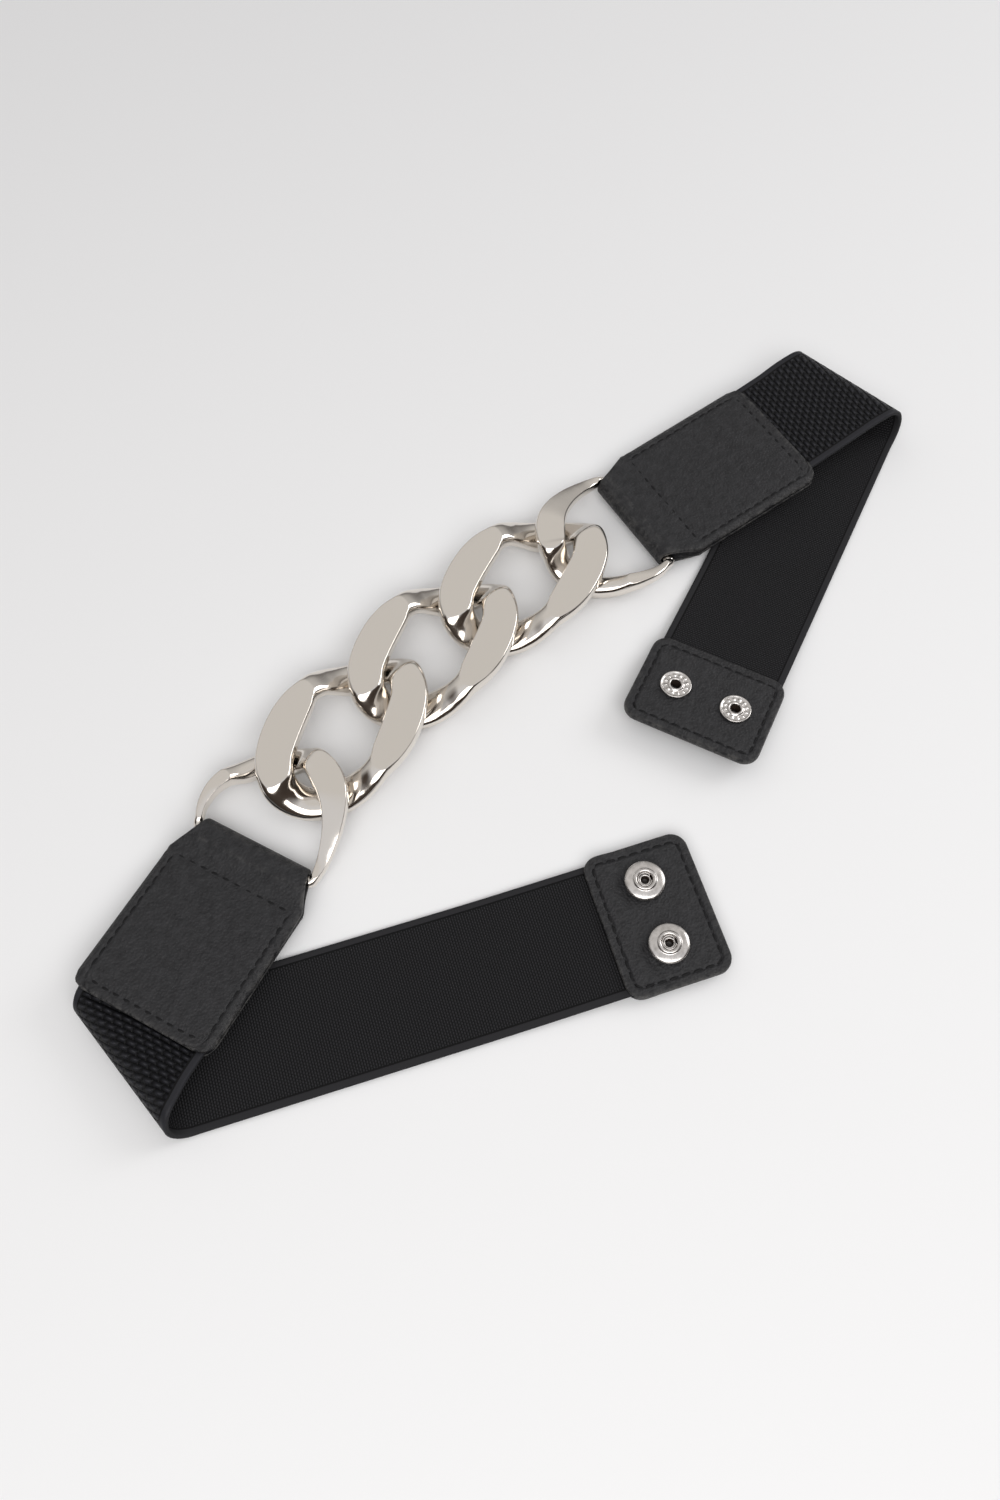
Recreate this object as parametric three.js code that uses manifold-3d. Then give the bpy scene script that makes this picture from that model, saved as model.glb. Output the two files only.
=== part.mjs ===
// Elastic belt with a curb chain front, laid on a table with both straps folded back.
// Millimetres, +Z up. X runs along the chain and Z = 0 is the table. The places below are
// measured in the plan of the laid belt, and the whole belt is moved to the middle of its
// own outline at the end.
import * as THREE from 'three';
import { mergeVertices } from 'three/addons/utils/BufferGeometryUtils.js';
import Module from 'manifold-3d';

const wasm = await Module();
wasm.setup();

const PLAN_MIDDLE = { x: 19.09, y: -19.68 };
const CLEARANCE = 0.3;

// Elastic webbing
const ELASTIC_WIDTH = 40;
const ELASTIC_THICK = 1.6;
const FOLD_RADIUS = 5;
const ELASTIC_Z = ELASTIC_THICK / 2;
const GIVE_LENGTH = 14;

// Leather
const LEATHER = 1.3;
const SLOT_HALF = ELASTIC_THICK / 2 + CLEARANCE;

// Chain: a closed ring of cast metal for each link, wound so that the link lies flat. Each
// row is one station of the ring: its outer edge (x, y) and inner edge (inX, inY) in plan,
// and the middle of its section with the rise above and the drop below it.
const RING_SIDES = 14;
const SECTION_POWER = 2.4;

// Half of a link from one end of its high flat to the next, which is the same half turned by
// 180 degrees. The ring lies low where the next link passes over it.
const HALF_LINK = [
  { x: 2.8, y: 20.9, inX: 2.0, inY: 12.8, middle: 9.7, rise: 3.3, drop: 3.0 },
  { x: -3.0, y: 21.1, inX: -0.8, inY: 11.5, middle: 9.9, rise: 3.1, drop: 3.1 },
  { x: -9.0, y: 20.3, inX: -4.8, inY: 9.8, middle: 9.9, rise: 3.1, drop: 3.1 },
  { x: -15.0, y: 18.3, inX: -9.0, inY: 8.0, middle: 9.9, rise: 3.1, drop: 3.1 },
  { x: -20.5, y: 15.5, inX: -13.2, inY: 6.1, middle: 9.9, rise: 3.1, drop: 3.1 },
  { x: -25.5, y: 11.8, inX: -17.2, inY: 4.2, middle: 9.9, rise: 3.1, drop: 3.1 },
  { x: -29.3, y: 7.0, inX: -20.2, inY: 2.5, middle: 9.8, rise: 3.2, drop: 3.1 },
  { x: -31.4, y: 1.8, inX: -21.8, inY: 0.8, middle: 9.4, rise: 3.6, drop: 3.1 },
  { x: -30.6, y: -3.4, inX: -21.7, inY: -1.9, middle: 6.2, rise: 3.4, drop: 3.3 },
  { x: -27.3, y: -9.0, inX: -19.6, inY: -4.6, middle: 3.3, rise: 3.0, drop: 3.8 },
  { x: -22.3, y: -13.4, inX: -16.8, inY: -7.6, middle: 3.1, rise: 3.0, drop: 3.7 },
  { x: -16.8, y: -16.8, inX: -13.2, inY: -10.0, middle: 3.6, rise: 3.0, drop: 3.7 },
  { x: -11.6, y: -19.1, inX: -9.4, inY: -12.1, middle: 5.7, rise: 3.1, drop: 3.4 },
  { x: -7.0, y: -20.4, inX: -5.6, inY: -13.4, middle: 8.1, rise: 3.3, drop: 3.2 },
];

// A whole end link, from its far end round past the low arm, the bar (x near 0) and the
// high arm
const BAR_Z = 4.3;
const BAR_RADIUS = 1.7;
const END_LINK = [
  { x: 36.3, y: -1.4, inX: 27.6, inY: -0.6, middle: 9.5, rise: 3.5, drop: 3.1 },
  { x: 35.9, y: 4.2, inX: 27.4, inY: 2.8, middle: 4.9, rise: 2.9, drop: 3.4 },
  { x: 33.2, y: 10.6, inX: 25.6, inY: 7.4, middle: 3.1, rise: 3.0, drop: 3.7 },
  { x: 28.6, y: 15.9, inX: 22.3, inY: 11.8, middle: 3.1, rise: 3.0, drop: 3.7 },
  { x: 22.8, y: 19.8, inX: 18.8, inY: 14.6, middle: 3.9, rise: 3.0, drop: 3.7 },
  { x: 17.4, y: 22.4, inX: 15.3, inY: 17.6, middle: 5.8, rise: 2.9, drop: 3.2 },
  { x: 11.5, y: 23.4, inX: 11.0, inY: 19.4, middle: 6.1, rise: 2.5, drop: 3.0 },
  { x: 6.0, y: 23.0, inX: 5.9, inY: 19.9, middle: 5.4, rise: 2.3, drop: 2.6 },
  { x: 1.8, y: 21.6, inX: 2.4, inY: 18.9, middle: 4.7, rise: 2.1, drop: 2.2 },
  { x: -0.6, y: 20.6, inX: 1.7, inY: 18.3, middle: BAR_Z, rise: 1.8, drop: 1.8 },
  { x: -1.7, y: 17.8, inX: 1.7, inY: 17.8, middle: BAR_Z, rise: BAR_RADIUS, drop: BAR_RADIUS },
  { x: -1.7, y: -17.6, inX: 1.7, inY: -17.6, middle: BAR_Z, rise: BAR_RADIUS, drop: BAR_RADIUS },
  { x: -0.6, y: -20.2, inX: 1.7, inY: -17.9, middle: BAR_Z, rise: 1.8, drop: 1.8 },
  { x: 2.0, y: -21.0, inX: 2.5, inY: -18.1, middle: 4.4, rise: 2.0, drop: 2.1 },
  { x: 6.3, y: -21.2, inX: 5.6, inY: -17.7, middle: 4.8, rise: 2.2, drop: 2.3 },
  { x: 12.0, y: -20.9, inX: 9.9, inY: -16.6, middle: 6.1, rise: 2.5, drop: 2.6 },
  { x: 17.5, y: -20.1, inX: 14.8, inY: -14.6, middle: 7.6, rise: 2.7, drop: 2.6 },
  { x: 23.2, y: -18.5, inX: 19.4, inY: -11.7, middle: 9.0, rise: 2.9, drop: 2.6 },
  { x: 28.2, y: -16.0, inX: 22.6, inY: -8.6, middle: 9.8, rise: 3.1, drop: 3.0 },
  { x: 32.4, y: -12.0, inX: 24.9, inY: -5.4, middle: 9.9, rise: 3.1, drop: 3.1 },
  { x: 35.3, y: -6.4, inX: 26.8, inY: -2.4, middle: 9.9, rise: 3.1, drop: 3.1 },
];

const LINKS = [
  { name: 'chain_link_1', x: -32.9, y: 33.9, turn: 5 },
  { name: 'chain_link_2', x: 6.5, y: 35.5, turn: 0 },
  { name: 'chain_link_3', x: 44.4, y: 33.5, turn: -5 },
];

// Leather loops that hold the chain. toFold points from the bar to the strap's fold.
const LOOP = { wide: 22.5, front: 17.2, shoulder: 10, corner: 4.5, tilt: 5.5 };
const LOOPS = [
  { side: 'left', x: -77.3, y: 24.1, toFold: 197.3, length: 57 },
  { side: 'right', x: 89.0, y: 25.3, toFold: -12, length: 58.3 },
];

// Leather tabs that carry the snaps, at the free ends of the two straps
const TAB = { long: 43.8, wide: 31.9, corner: 5, half: 1.4, mouthHalf: 2.1, mouth: 8, mouthWide: 41.6 };
const SNAP_PITCH = 19.6;
const TABS = [
  { name: 'socket_tab', x: -7.6, y: -70.9, z: 2.9, toStrap: 152.6, tilt: 2.4 },
  { name: 'stud_tab', x: 53.4, y: -35.6, z: 5.5, toStrap: 19.4, tilt: 5.5 },
];

// Straps: where the lower layer meets its fold, the fold's own line across the strap and
// the way the upper layer comes back. The webbing gives a little where those two differ.
const STRAPS = [
  { name: 'elastic_strap_left', tab: 0, loop: 0, foldX: -138.1, foldY: -2.9, crease: 87.3, backTo: 17.3 },
  { name: 'elastic_strap_right', tab: 1, loop: 1, foldX: 175.3, foldY: 5.7, crease: 92.6, backTo: 170.2 },
];

const SNAP_SIDES = 24;

const LOOKS = {
  metal: { color: 0xc9c2b8, roughness: 0.16, metalness: 1.0 },
  snap: { color: 0xd6d3cc, roughness: 0.25, metalness: 1.0 },
  leather: { color: 0x38383a, roughness: 0.62, metalness: 0.0 },
  elastic: { color: 0x1d1d20, roughness: 0.9, metalness: 0.0 },
};

const radians = THREE.MathUtils.degToRad;
const heading = (degrees) => new THREE.Vector2(Math.cos(radians(degrees)), Math.sin(radians(degrees)));

function material(look) {
  return new THREE.MeshStandardMaterial(LOOKS[look]);
}

function welded(geometry) {
  geometry.deleteAttribute('normal');
  geometry.deleteAttribute('uv');
  return mergeVertices(geometry, 1e-4);
}

function piece(name, look, geometry) {
  geometry.computeVertexNormals();
  const mesh = new THREE.Mesh(geometry, material(look));
  mesh.name = name;
  return mesh;
}

function solid(geometry) {
  const shell = welded(geometry);
  const vertProperties = new Float32Array(shell.attributes.position.array);
  const triVerts = new Uint32Array(shell.index.array);
  return new wasm.Manifold(new wasm.Mesh({ numProp: 3, vertProperties, triVerts }));
}

function geometryOf(manifold) {
  const mesh = manifold.getMesh();
  const geometry = new THREE.BufferGeometry();
  geometry.setAttribute('position', new THREE.BufferAttribute(mesh.vertProperties.slice(), 3));
  geometry.setIndex(new THREE.BufferAttribute(mesh.triVerts.slice(), 1));
  return geometry;
}

// A power of the cosine or sine that keeps its sign, for rounded ovals and rectangles
function rounded(value, power) {
  return Math.sign(value) * Math.pow(Math.abs(value), 2 / power);
}

function ringGeometry(rows) {
  const geometry = new THREE.TorusGeometry(1, 0.5, RING_SIDES, rows.length);
  const position = geometry.attributes.position;
  for (let side = 0; side <= RING_SIDES; side += 1) {
    const around = (side % RING_SIDES) / RING_SIDES * 2 * Math.PI;
    const out = rounded(Math.cos(around), SECTION_POWER);
    const up = rounded(Math.sin(around), SECTION_POWER);
    for (let i = 0; i <= rows.length; i += 1) {
      const row = rows[i % rows.length];
      const x = THREE.MathUtils.lerp(row.inX, row.x, (1 + out) / 2);
      const y = THREE.MathUtils.lerp(row.inY, row.y, (1 + out) / 2);
      const z = Math.max(0, row.middle + up * (up > 0 ? row.rise : row.drop));
      position.setXYZ(side * (rows.length + 1) + i, x, y, z);
    }
  }
  return welded(geometry);
}

function chainLink({ name, x, y, turn }) {
  const turned = HALF_LINK.map((row) => ({ ...row, x: -row.x, y: -row.y, inX: -row.inX, inY: -row.inY }));
  const link = piece(name, 'metal', ringGeometry([...HALF_LINK, ...turned]));
  link.position.set(x, y, 0);
  link.rotation.z = radians(turn);
  return link;
}

function endLink({ side, x, y, toFold }) {
  const link = piece(`end_link_${side}`, 'metal', ringGeometry(END_LINK));
  link.position.set(x, y, 0);
  link.rotation.z = radians(toFold + 180);
  return link;
}

// The loop's plan, from the bar (origin) back towards the fold along +X
function loopPlan(length) {
  const { wide, front, shoulder, corner } = LOOP;
  const nose = BAR_RADIUS + 2 * LEATHER;
  const plan = new THREE.Shape();
  plan.moveTo(-nose, -front);
  plan.quadraticCurveTo(shoulder * 0.3, -front - 1.5, shoulder, -wide);
  plan.lineTo(length - corner, -wide);
  plan.absarc(length - corner, -wide + corner, corner, -Math.PI / 2, 0, false);
  plan.absarc(length - corner, wide - corner, corner, 0, Math.PI / 2, false);
  plan.lineTo(shoulder, wide);
  plan.quadraticCurveTo(shoulder * 0.3, front + 1.5, -nose, front);
  plan.closePath();
  return plan;
}

// One strip of leather wrapped round the bar, open at the back where the elastic goes in
function loopSide(length) {
  const bore = BAR_RADIUS + 0.5;
  const nose = bore + LEATHER;
  const outer = SLOT_HALF + LEATHER;
  const side = new THREE.Shape();
  side.moveTo(length + 1, outer);
  side.lineTo(9, outer);
  side.quadraticCurveTo(4, nose, 0, nose);
  side.absarc(0, 0, nose, Math.PI / 2, -Math.PI / 2, false);
  side.quadraticCurveTo(4, -nose, 9, -outer);
  side.lineTo(length + 1, -outer);
  side.lineTo(length + 1, -SLOT_HALF);
  side.lineTo(8, -SLOT_HALF);
  side.quadraticCurveTo(3.5, -bore, 0, -bore);
  side.absarc(0, 0, bore, -Math.PI / 2, Math.PI / 2, true);
  side.quadraticCurveTo(3.5, bore, 8, SLOT_HALF);
  side.lineTo(length + 1, SLOT_HALF);
  side.closePath();
  return side;
}

function leatherLoop({ side, x, y, toFold, length }) {
  const strip = new THREE.ExtrudeGeometry(loopSide(length), { depth: 60, bevelEnabled: false, curveSegments: 6 });
  strip.translate(0, 0, -30).rotateX(Math.PI / 2);
  const block = new THREE.ExtrudeGeometry(loopPlan(length), { depth: 20, bevelEnabled: false, curveSegments: 6 });
  block.translate(0, 0, -10);
  const loop = piece(`leather_loop_${side}`, 'leather', geometryOf(solid(strip).intersect(solid(block))));
  loop.rotation.order = 'ZYX';
  loop.rotation.set(0, radians(-LOOP.tilt), radians(toFold));
  loop.position.set(x, y, BAR_Z);
  return loop;
}

function roundedRectangle(long, wide, corner) {
  const x = long / 2 - corner;
  const y = wide / 2 - corner;
  const shape = new THREE.Shape();
  shape.absarc(x, y, corner, 0, Math.PI / 2, false);
  shape.absarc(-x, y, corner, Math.PI / 2, Math.PI, false);
  shape.absarc(-x, -y, corner, Math.PI, 1.5 * Math.PI, false);
  shape.absarc(x, -y, corner, 1.5 * Math.PI, 2 * Math.PI, false);
  shape.closePath();
  return shape;
}

// Two leathers glued into one, thicker at the mouth where the elastic goes in (+X side)
function tabSide() {
  const { wide, half, mouthHalf, mouth } = TAB;
  const side = new THREE.Shape();
  side.moveTo(-wide, -half);
  side.lineTo(mouth - 1.7, -half);
  side.lineTo(mouth + 0.8, -mouthHalf);
  side.lineTo(wide, -mouthHalf);
  side.lineTo(wide, mouthHalf);
  side.lineTo(mouth + 0.8, mouthHalf);
  side.lineTo(mouth - 1.7, half);
  side.lineTo(-wide, half);
  side.closePath();
  return side;
}

function place(object, tab) {
  object.rotation.order = 'ZYX';
  object.rotation.set(0, radians(tab.tilt), radians(tab.toStrap));
  object.position.set(tab.x, tab.y, tab.z);
  return object;
}

function snapTab(tab) {
  const slab = new THREE.ExtrudeGeometry(tabSide(), { depth: 60, bevelEnabled: false });
  slab.translate(0, 0, -30).rotateX(Math.PI / 2);
  const outline = roundedRectangle(TAB.wide, TAB.long, TAB.corner);
  const block = new THREE.ExtrudeGeometry(outline, { depth: 10, bevelEnabled: false, curveSegments: 5 });
  block.translate(0, 0, -5);
  const slot = new THREE.BoxGeometry(TAB.wide, TAB.mouthWide, 2 * SLOT_HALF);
  slot.translate(TAB.mouth + TAB.wide / 2, 0, 0);
  let body = solid(slab).intersect(solid(block)).subtract(solid(slot));
  for (const side of [-1, 1]) {
    const hole = new THREE.CylinderGeometry(RIVET.hole, RIVET.hole, 10, SNAP_SIDES);
    hole.rotateX(Math.PI / 2).translate(0, side * SNAP_PITCH / 2, 0);
    body = body.subtract(solid(hole));
  }
  return piece(tab.name, 'leather', geometryOf(body));
}

// Snap parts, turned about their own axis. Heights are from the middle of the leather.
const SEAT = TAB.half + CLEARANCE;
const RIVET = { hole: 2.2, tube: 1.8, bore: 1.15 };
const SOCKET = { radius: 6, height: 3, mouth: 2.15 };
const CAP = { radius: 5.8, height: 0.9 };
const POST = { radius: 4.9, height: 0.9, dish: 1.7 };
const STUD = { radius: 5.2, flange: 1.2, knob: 2.0, height: 3.6 };

function turned(name, profile) {
  const points = profile.map(([radius, z]) => new THREE.Vector2(radius, z));
  const lathe = new THREE.LatheGeometry(points, SNAP_SIDES);
  lathe.rotateX(Math.PI / 2);
  return piece(name, 'snap', welded(lathe));
}

function socketRing(name) {
  const { radius, height, mouth } = SOCKET;
  const top = SEAT + height;
  return turned(name, [
    [mouth, SEAT], [radius - 0.4, SEAT], [radius, SEAT + 0.5], [radius, top - 0.7],
    [radius - 0.3, top - 0.2], [radius - 1, top], [mouth + 1.2, top], [mouth + 0.4, top - 0.3],
    [mouth, top - 0.9], [mouth, SEAT],
  ]);
}

// The rivet under the leather, with its tube standing up inside the socket
function socketCap(name) {
  const { radius, height } = CAP;
  return turned(name, [
    [0, -SEAT - height], [radius - 1.2, -SEAT - height], [radius - 0.2, -SEAT - 0.6], [radius, -SEAT - 0.2],
    [radius - 0.2, -SEAT], [RIVET.tube, -SEAT], [RIVET.tube, SEAT + 2.1], [RIVET.bore, SEAT + 2.1],
    [RIVET.bore, SEAT - 0.4], [0, SEAT - 0.4],
  ]);
}

// The eyelet on the stud tab, a raised rim and centre ring round its hole
function postEyelet(name) {
  const { radius, height, dish } = POST;
  const top = SEAT + height;
  return turned(name, [
    [0, -SEAT - 0.5], [RIVET.tube, -SEAT - 0.5], [RIVET.tube, SEAT], [radius, SEAT], [radius, top - 0.3],
    [radius - 0.4, top], [radius - 0.7, top - 0.2], [dish + 0.8, top - 0.1], [dish + 0.3, top + 0.1],
    [dish - 0.1, top - 0.2], [RIVET.bore + 0.3, SEAT - 0.6], [0, SEAT - 0.6],
  ]);
}

function studKnob(name) {
  const { radius, flange, knob, height } = STUD;
  return turned(name, [
    [0, -SEAT - height], [knob - 0.5, -SEAT - height], [knob, -SEAT - height + 0.6],
    [knob - 0.25, -SEAT - flange - 0.6], [knob + 0.5, -SEAT - flange], [radius - 0.5, -SEAT - flange],
    [radius, -SEAT - flange + 0.4], [radius - 0.1, -SEAT], [RIVET.hole, -SEAT], [RIVET.hole, -SEAT - 0.8],
    [0, -SEAT - 0.8],
  ]);
}

const SNAPS = [
  { tab: 0, make: socketRing, name: 'snap_socket' },
  { tab: 0, make: socketCap, name: 'snap_socket_rivet' },
  { tab: 1, make: postEyelet, name: 'snap_stud_eyelet' },
  { tab: 1, make: studKnob, name: 'snap_stud' },
];

function tabGroup(tab, index) {
  const group = place(new THREE.Group(), tab);
  group.add(snapTab(tab));
  for (const snap of SNAPS.filter((item) => item.tab === index)) {
    for (const side of [-1, 1]) {
      const part = snap.make(`${snap.name}_${side < 0 ? 1 : 2}`);
      part.position.y = side * SNAP_PITCH / 2;
      group.add(part);
    }
  }
  return group;
}

// Height of the middle of the elastic on its way from the tab's mouth down to the table
const MOUTH_EDGE = TAB.wide / 2;
const TAB_RAMP = 42;

function lowerHeight(fromTab, tab) {
  const slope = Math.tan(radians(tab.tilt));
  if (fromTab <= MOUTH_EDGE) return tab.z - fromTab * slope;
  const edge = tab.z - MOUTH_EDGE * slope;
  const u = Math.min(1, (fromTab - MOUTH_EDGE) / TAB_RAMP);
  const hold = 2 * u ** 3 - 3 * u ** 2 + 1;
  const lean = u ** 3 - 2 * u ** 2 + u;
  return Math.max(ELASTIC_Z, edge * hold - slope * TAB_RAMP * lean + ELASTIC_Z * (1 - hold));
}

// A flat strip laid from the tab to the fold, bent round it and brought back to the loop.
// along is the distance past the fold's start on the strip's own middle line.
function strap({ name, tab: tabIndex, loop: loopIndex, foldX, foldY, crease: creaseAngle, backTo }) {
  const tab = TABS[tabIndex];
  const loop = LOOPS[loopIndex];
  const start = new THREE.Vector2(foldX, foldY);
  const toFold = start.clone().sub(new THREE.Vector2(tab.x, tab.y));
  const reach = toFold.length();
  const ahead = toFold.normalize();
  const left = new THREE.Vector2(-ahead.y, ahead.x);
  const crease = heading(creaseAngle);
  const out = new THREE.Vector2(crease.y, -crease.x);
  if (out.dot(ahead) < 0) out.negate();
  const slant = -left.dot(out) / ahead.dot(out);
  const arc = Math.PI * FOLD_RADIUS;
  const square = (at) => ({ at, slant: 0 });
  const creased = (past) => ({ at: past / ahead.dot(out), slant });
  const stations = [square(-reach + TAB.mouth + 1), square(-reach + MOUTH_EDGE)];
  for (let i = 1; i <= 5; i += 1) stations.push(square(-reach + MOUTH_EDGE + TAB_RAMP * i / 5));
  for (let i = 0; i <= 8; i += 1) stations.push(creased(arc * i / 8));
  for (const past of [3, 6, 9, 12]) stations.push(creased(arc + past));
  const back = start.distanceTo(new THREE.Vector2(loop.x, loop.y));
  stations.push(square(arc / ahead.dot(out) + back - 13));

  const middleSlide = arc * ahead.dot(crease) / ahead.dot(out);
  const hinge = start.clone().addScaledVector(crease, middleSlide);
  const mirrored = 2 * creaseAngle - THREE.MathUtils.radToDeg(ahead.angle());
  const give = radians(THREE.MathUtils.euclideanModulo(backTo - mirrored + 180, 360) - 180);
  const loopAxis = heading(loop.toFold);
  const loopHeight = (x, y) => {
    const s = (x - loop.x) * loopAxis.x + (y - loop.y) * loopAxis.y;
    return BAR_Z + s * Math.tan(radians(LOOP.tilt));
  };

  const geometry = new THREE.BoxGeometry(1, 1, 1, stations.length - 1, 2, 1);
  const position = geometry.attributes.position;
  for (let i = 0; i < position.count; i += 1) {
    const station = stations[Math.round((position.getX(i) + 0.5) * (stations.length - 1))];
    const across = position.getY(i) * ELASTIC_WIDTH;
    const above = position.getZ(i) * ELASTIC_THICK;
    const along = station.at + station.slant * across;
    const flat = ahead.clone().multiplyScalar(along).addScaledVector(left, across);
    const past = flat.dot(out);
    const slide = flat.dot(crease);
    const turn = THREE.MathUtils.clamp(past / arc, 0, 1) * Math.PI;
    const top = loopHeight(start.x + slide * crease.x, start.y + slide * crease.y);
    const radius = (top - ELASTIC_Z) / 2;
    const reachOut = past < 0 ? past : radius * Math.sin(turn) - Math.max(0, past - arc);
    const turnBack = give * THREE.MathUtils.smoothstep(past - arc, 0, GIVE_LENGTH);
    const plan = start.clone().addScaledVector(out, reachOut).addScaledVector(crease, slide);
    const { x, y } = plan.rotateAround(hinge, turnBack);
    let z = ELASTIC_Z + radius * (1 - Math.cos(turn));
    if (past < 0) z = lowerHeight(reach + along, tab);
    if (past > arc) z = loopHeight(x, y);
    const lean = above * Math.sin(turn);
    position.setXYZ(i, x - out.x * lean, y - out.y * lean, z + above * Math.cos(turn));
  }
  return piece(name, 'elastic', welded(geometry));
}

const belt = new THREE.Group();
belt.position.set(-PLAN_MIDDLE.x, -PLAN_MIDDLE.y, 0);
for (const link of LINKS) belt.add(chainLink(link));
for (const loop of LOOPS) belt.add(endLink(loop), leatherLoop(loop));
for (const row of STRAPS) belt.add(strap(row));
TABS.forEach((tab, index) => belt.add(tabGroup(tab, index)));

export default belt;
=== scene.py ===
import math

import bmesh
import bpy
import numpy as np
from mathutils import Matrix, Vector


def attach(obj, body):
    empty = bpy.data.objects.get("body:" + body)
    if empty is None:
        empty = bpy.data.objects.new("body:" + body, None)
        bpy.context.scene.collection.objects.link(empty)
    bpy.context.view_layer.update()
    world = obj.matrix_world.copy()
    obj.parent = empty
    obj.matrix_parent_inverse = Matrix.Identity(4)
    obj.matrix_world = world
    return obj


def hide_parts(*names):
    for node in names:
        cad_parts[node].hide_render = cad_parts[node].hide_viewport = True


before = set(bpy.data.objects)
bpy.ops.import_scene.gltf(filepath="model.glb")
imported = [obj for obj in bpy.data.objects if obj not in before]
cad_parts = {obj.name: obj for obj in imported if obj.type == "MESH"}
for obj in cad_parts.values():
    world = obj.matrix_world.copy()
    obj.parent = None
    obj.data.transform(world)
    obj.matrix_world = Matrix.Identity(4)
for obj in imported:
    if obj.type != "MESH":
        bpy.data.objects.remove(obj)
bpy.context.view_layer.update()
MM = 0.001

# The belt lies on a white table in a light tent, seen from above at an angle. The camera looks
# down 64.5 degrees towards the corner between +X and +Y, from about 35 cm above the table.
table_mesh = bpy.data.meshes.new("table")
table = bpy.data.objects.new("table", table_mesh)
bpy.context.scene.collection.objects.link(table)
bm = bmesh.new()
bmesh.ops.create_grid(bm, x_segments=2, y_segments=2, size=3.0)
bmesh.ops.translate(bm, verts=bm.verts, vec=(0, 0, -0.0001))
bm.to_mesh(table_mesh)
bm.free()

paper = bpy.data.materials.new("white_table")
paper.use_nodes = True
paper_shader = paper.node_tree.nodes["Principled BSDF"]
paper_shader.inputs["Base Color"].default_value = (0.86, 0.865, 0.875, 1)
paper_shader.inputs["Roughness"].default_value = 0.6
table_mesh.materials.append(paper)

# A pale paper wall that stands round the table, far from the belt. It only closes the view in
# low pictures, so it blocks no light and the polished metal doesn't mirror it.
wall_mesh = bpy.data.meshes.new("paper_wall")
wall = bpy.data.objects.new("paper_wall", wall_mesh)
bpy.context.scene.collection.objects.link(wall)
bm = bmesh.new()
WALL_RADIUS = 2.7
bmesh.ops.create_cone(bm, cap_ends=False, segments=96, radius1=WALL_RADIUS, radius2=WALL_RADIUS, depth=4.0)
bmesh.ops.translate(bm, verts=bm.verts, vec=(0, 0, 1.9))
for face in bm.faces:
    face.smooth = True
bm.to_mesh(wall_mesh)
bm.free()
wall.visible_diffuse = False
wall.visible_glossy = False
wall.visible_shadow = False
wall_paper = bpy.data.materials.new("pale_wall")
wall_paper.use_nodes = True
wall_shader = wall_paper.node_tree.nodes["Principled BSDF"]
wall_shader.inputs["Base Color"].default_value = (0.2, 0.2, 0.2, 1)
wall_shader.inputs["Emission Color"].default_value = (0.8, 0.805, 0.815, 1)
wall_shader.inputs["Emission Strength"].default_value = 0.75
wall_mesh.materials.append(wall_paper)

camera_data = bpy.data.cameras.new("camera")
camera_data.sensor_width = 36
camera_data.lens = 30.19
camera_data.clip_start = 0.01
camera_data.clip_end = 20
camera = bpy.data.objects.new("camera", camera_data)
bpy.context.scene.collection.objects.link(camera)
camera.location = (-137.88 * MM, -99.11 * MM, 348.77 * MM)
camera.rotation_euler = Vector((0.3042, 0.3042, -0.9027)).to_track_quat("-Z", "Y").to_euler()
bpy.context.scene.camera = camera
bpy.context.scene.view_settings.view_transform = "Standard"

# The light tent: dim round the camera's side and pale on the far side and overhead, which gives
# the polished metal its dark and bright bands. Two soft lamps add the highlights and shadows.
world = bpy.data.worlds.new("light_tent")
bpy.context.scene.world = world
world.use_nodes = True
sky = world.node_tree
background = sky.nodes["Background"]
direction = sky.nodes.new("ShaderNodeTexCoord")
apart = sky.nodes.new("ShaderNodeSeparateXYZ")
sky.links.new(direction.outputs["Generated"], apart.inputs[0])
toward = sky.nodes.new("ShaderNodeVectorMath")
toward.operation = "DOT_PRODUCT"
toward.inputs[1].default_value = (0.707, 0.707, 0)
sky.links.new(direction.outputs["Generated"], toward.inputs[0])
lift = sky.nodes.new("ShaderNodeMapRange")
lift.inputs["From Min"].default_value = 0.0
lift.inputs["From Max"].default_value = 0.75
sky.links.new(apart.outputs["Z"], lift.inputs["Value"])
near = sky.nodes.new("ShaderNodeValToRGB")
near.color_ramp.elements[0].color = (0.05, 0.04, 0.035, 1)
near.color_ramp.elements[1].color = (0.9, 0.9, 0.92, 1)
near.color_ramp.elements[1].position = 1.0
middle = near.color_ramp.elements.new(0.74)
middle.color = (0.07, 0.052, 0.042, 1)
sky.links.new(lift.outputs["Result"], near.inputs[0])
far = sky.nodes.new("ShaderNodeValToRGB")
far.color_ramp.elements[0].color = (0.14, 0.13, 0.125, 1)
far.color_ramp.elements[1].color = (0.85, 0.83, 0.81, 1)
far_middle = far.color_ramp.elements.new(0.5)
far_middle.color = (0.60, 0.59, 0.58, 1)
sky.links.new(lift.outputs["Result"], far.inputs[0])
side = sky.nodes.new("ShaderNodeMapRange")
side.inputs["From Min"].default_value = -0.12
side.inputs["From Max"].default_value = 0.12
sky.links.new(toward.outputs["Value"], side.inputs["Value"])
tent = sky.nodes.new("ShaderNodeMix")
tent.data_type = "RGBA"
sky.links.new(side.outputs["Result"], tent.inputs[0])
sky.links.new(near.outputs[0], tent.inputs[6])
sky.links.new(far.outputs[0], tent.inputs[7])
sky.links.new(tent.outputs[2], background.inputs["Color"])
background.inputs["Strength"].default_value = 0.80


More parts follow.
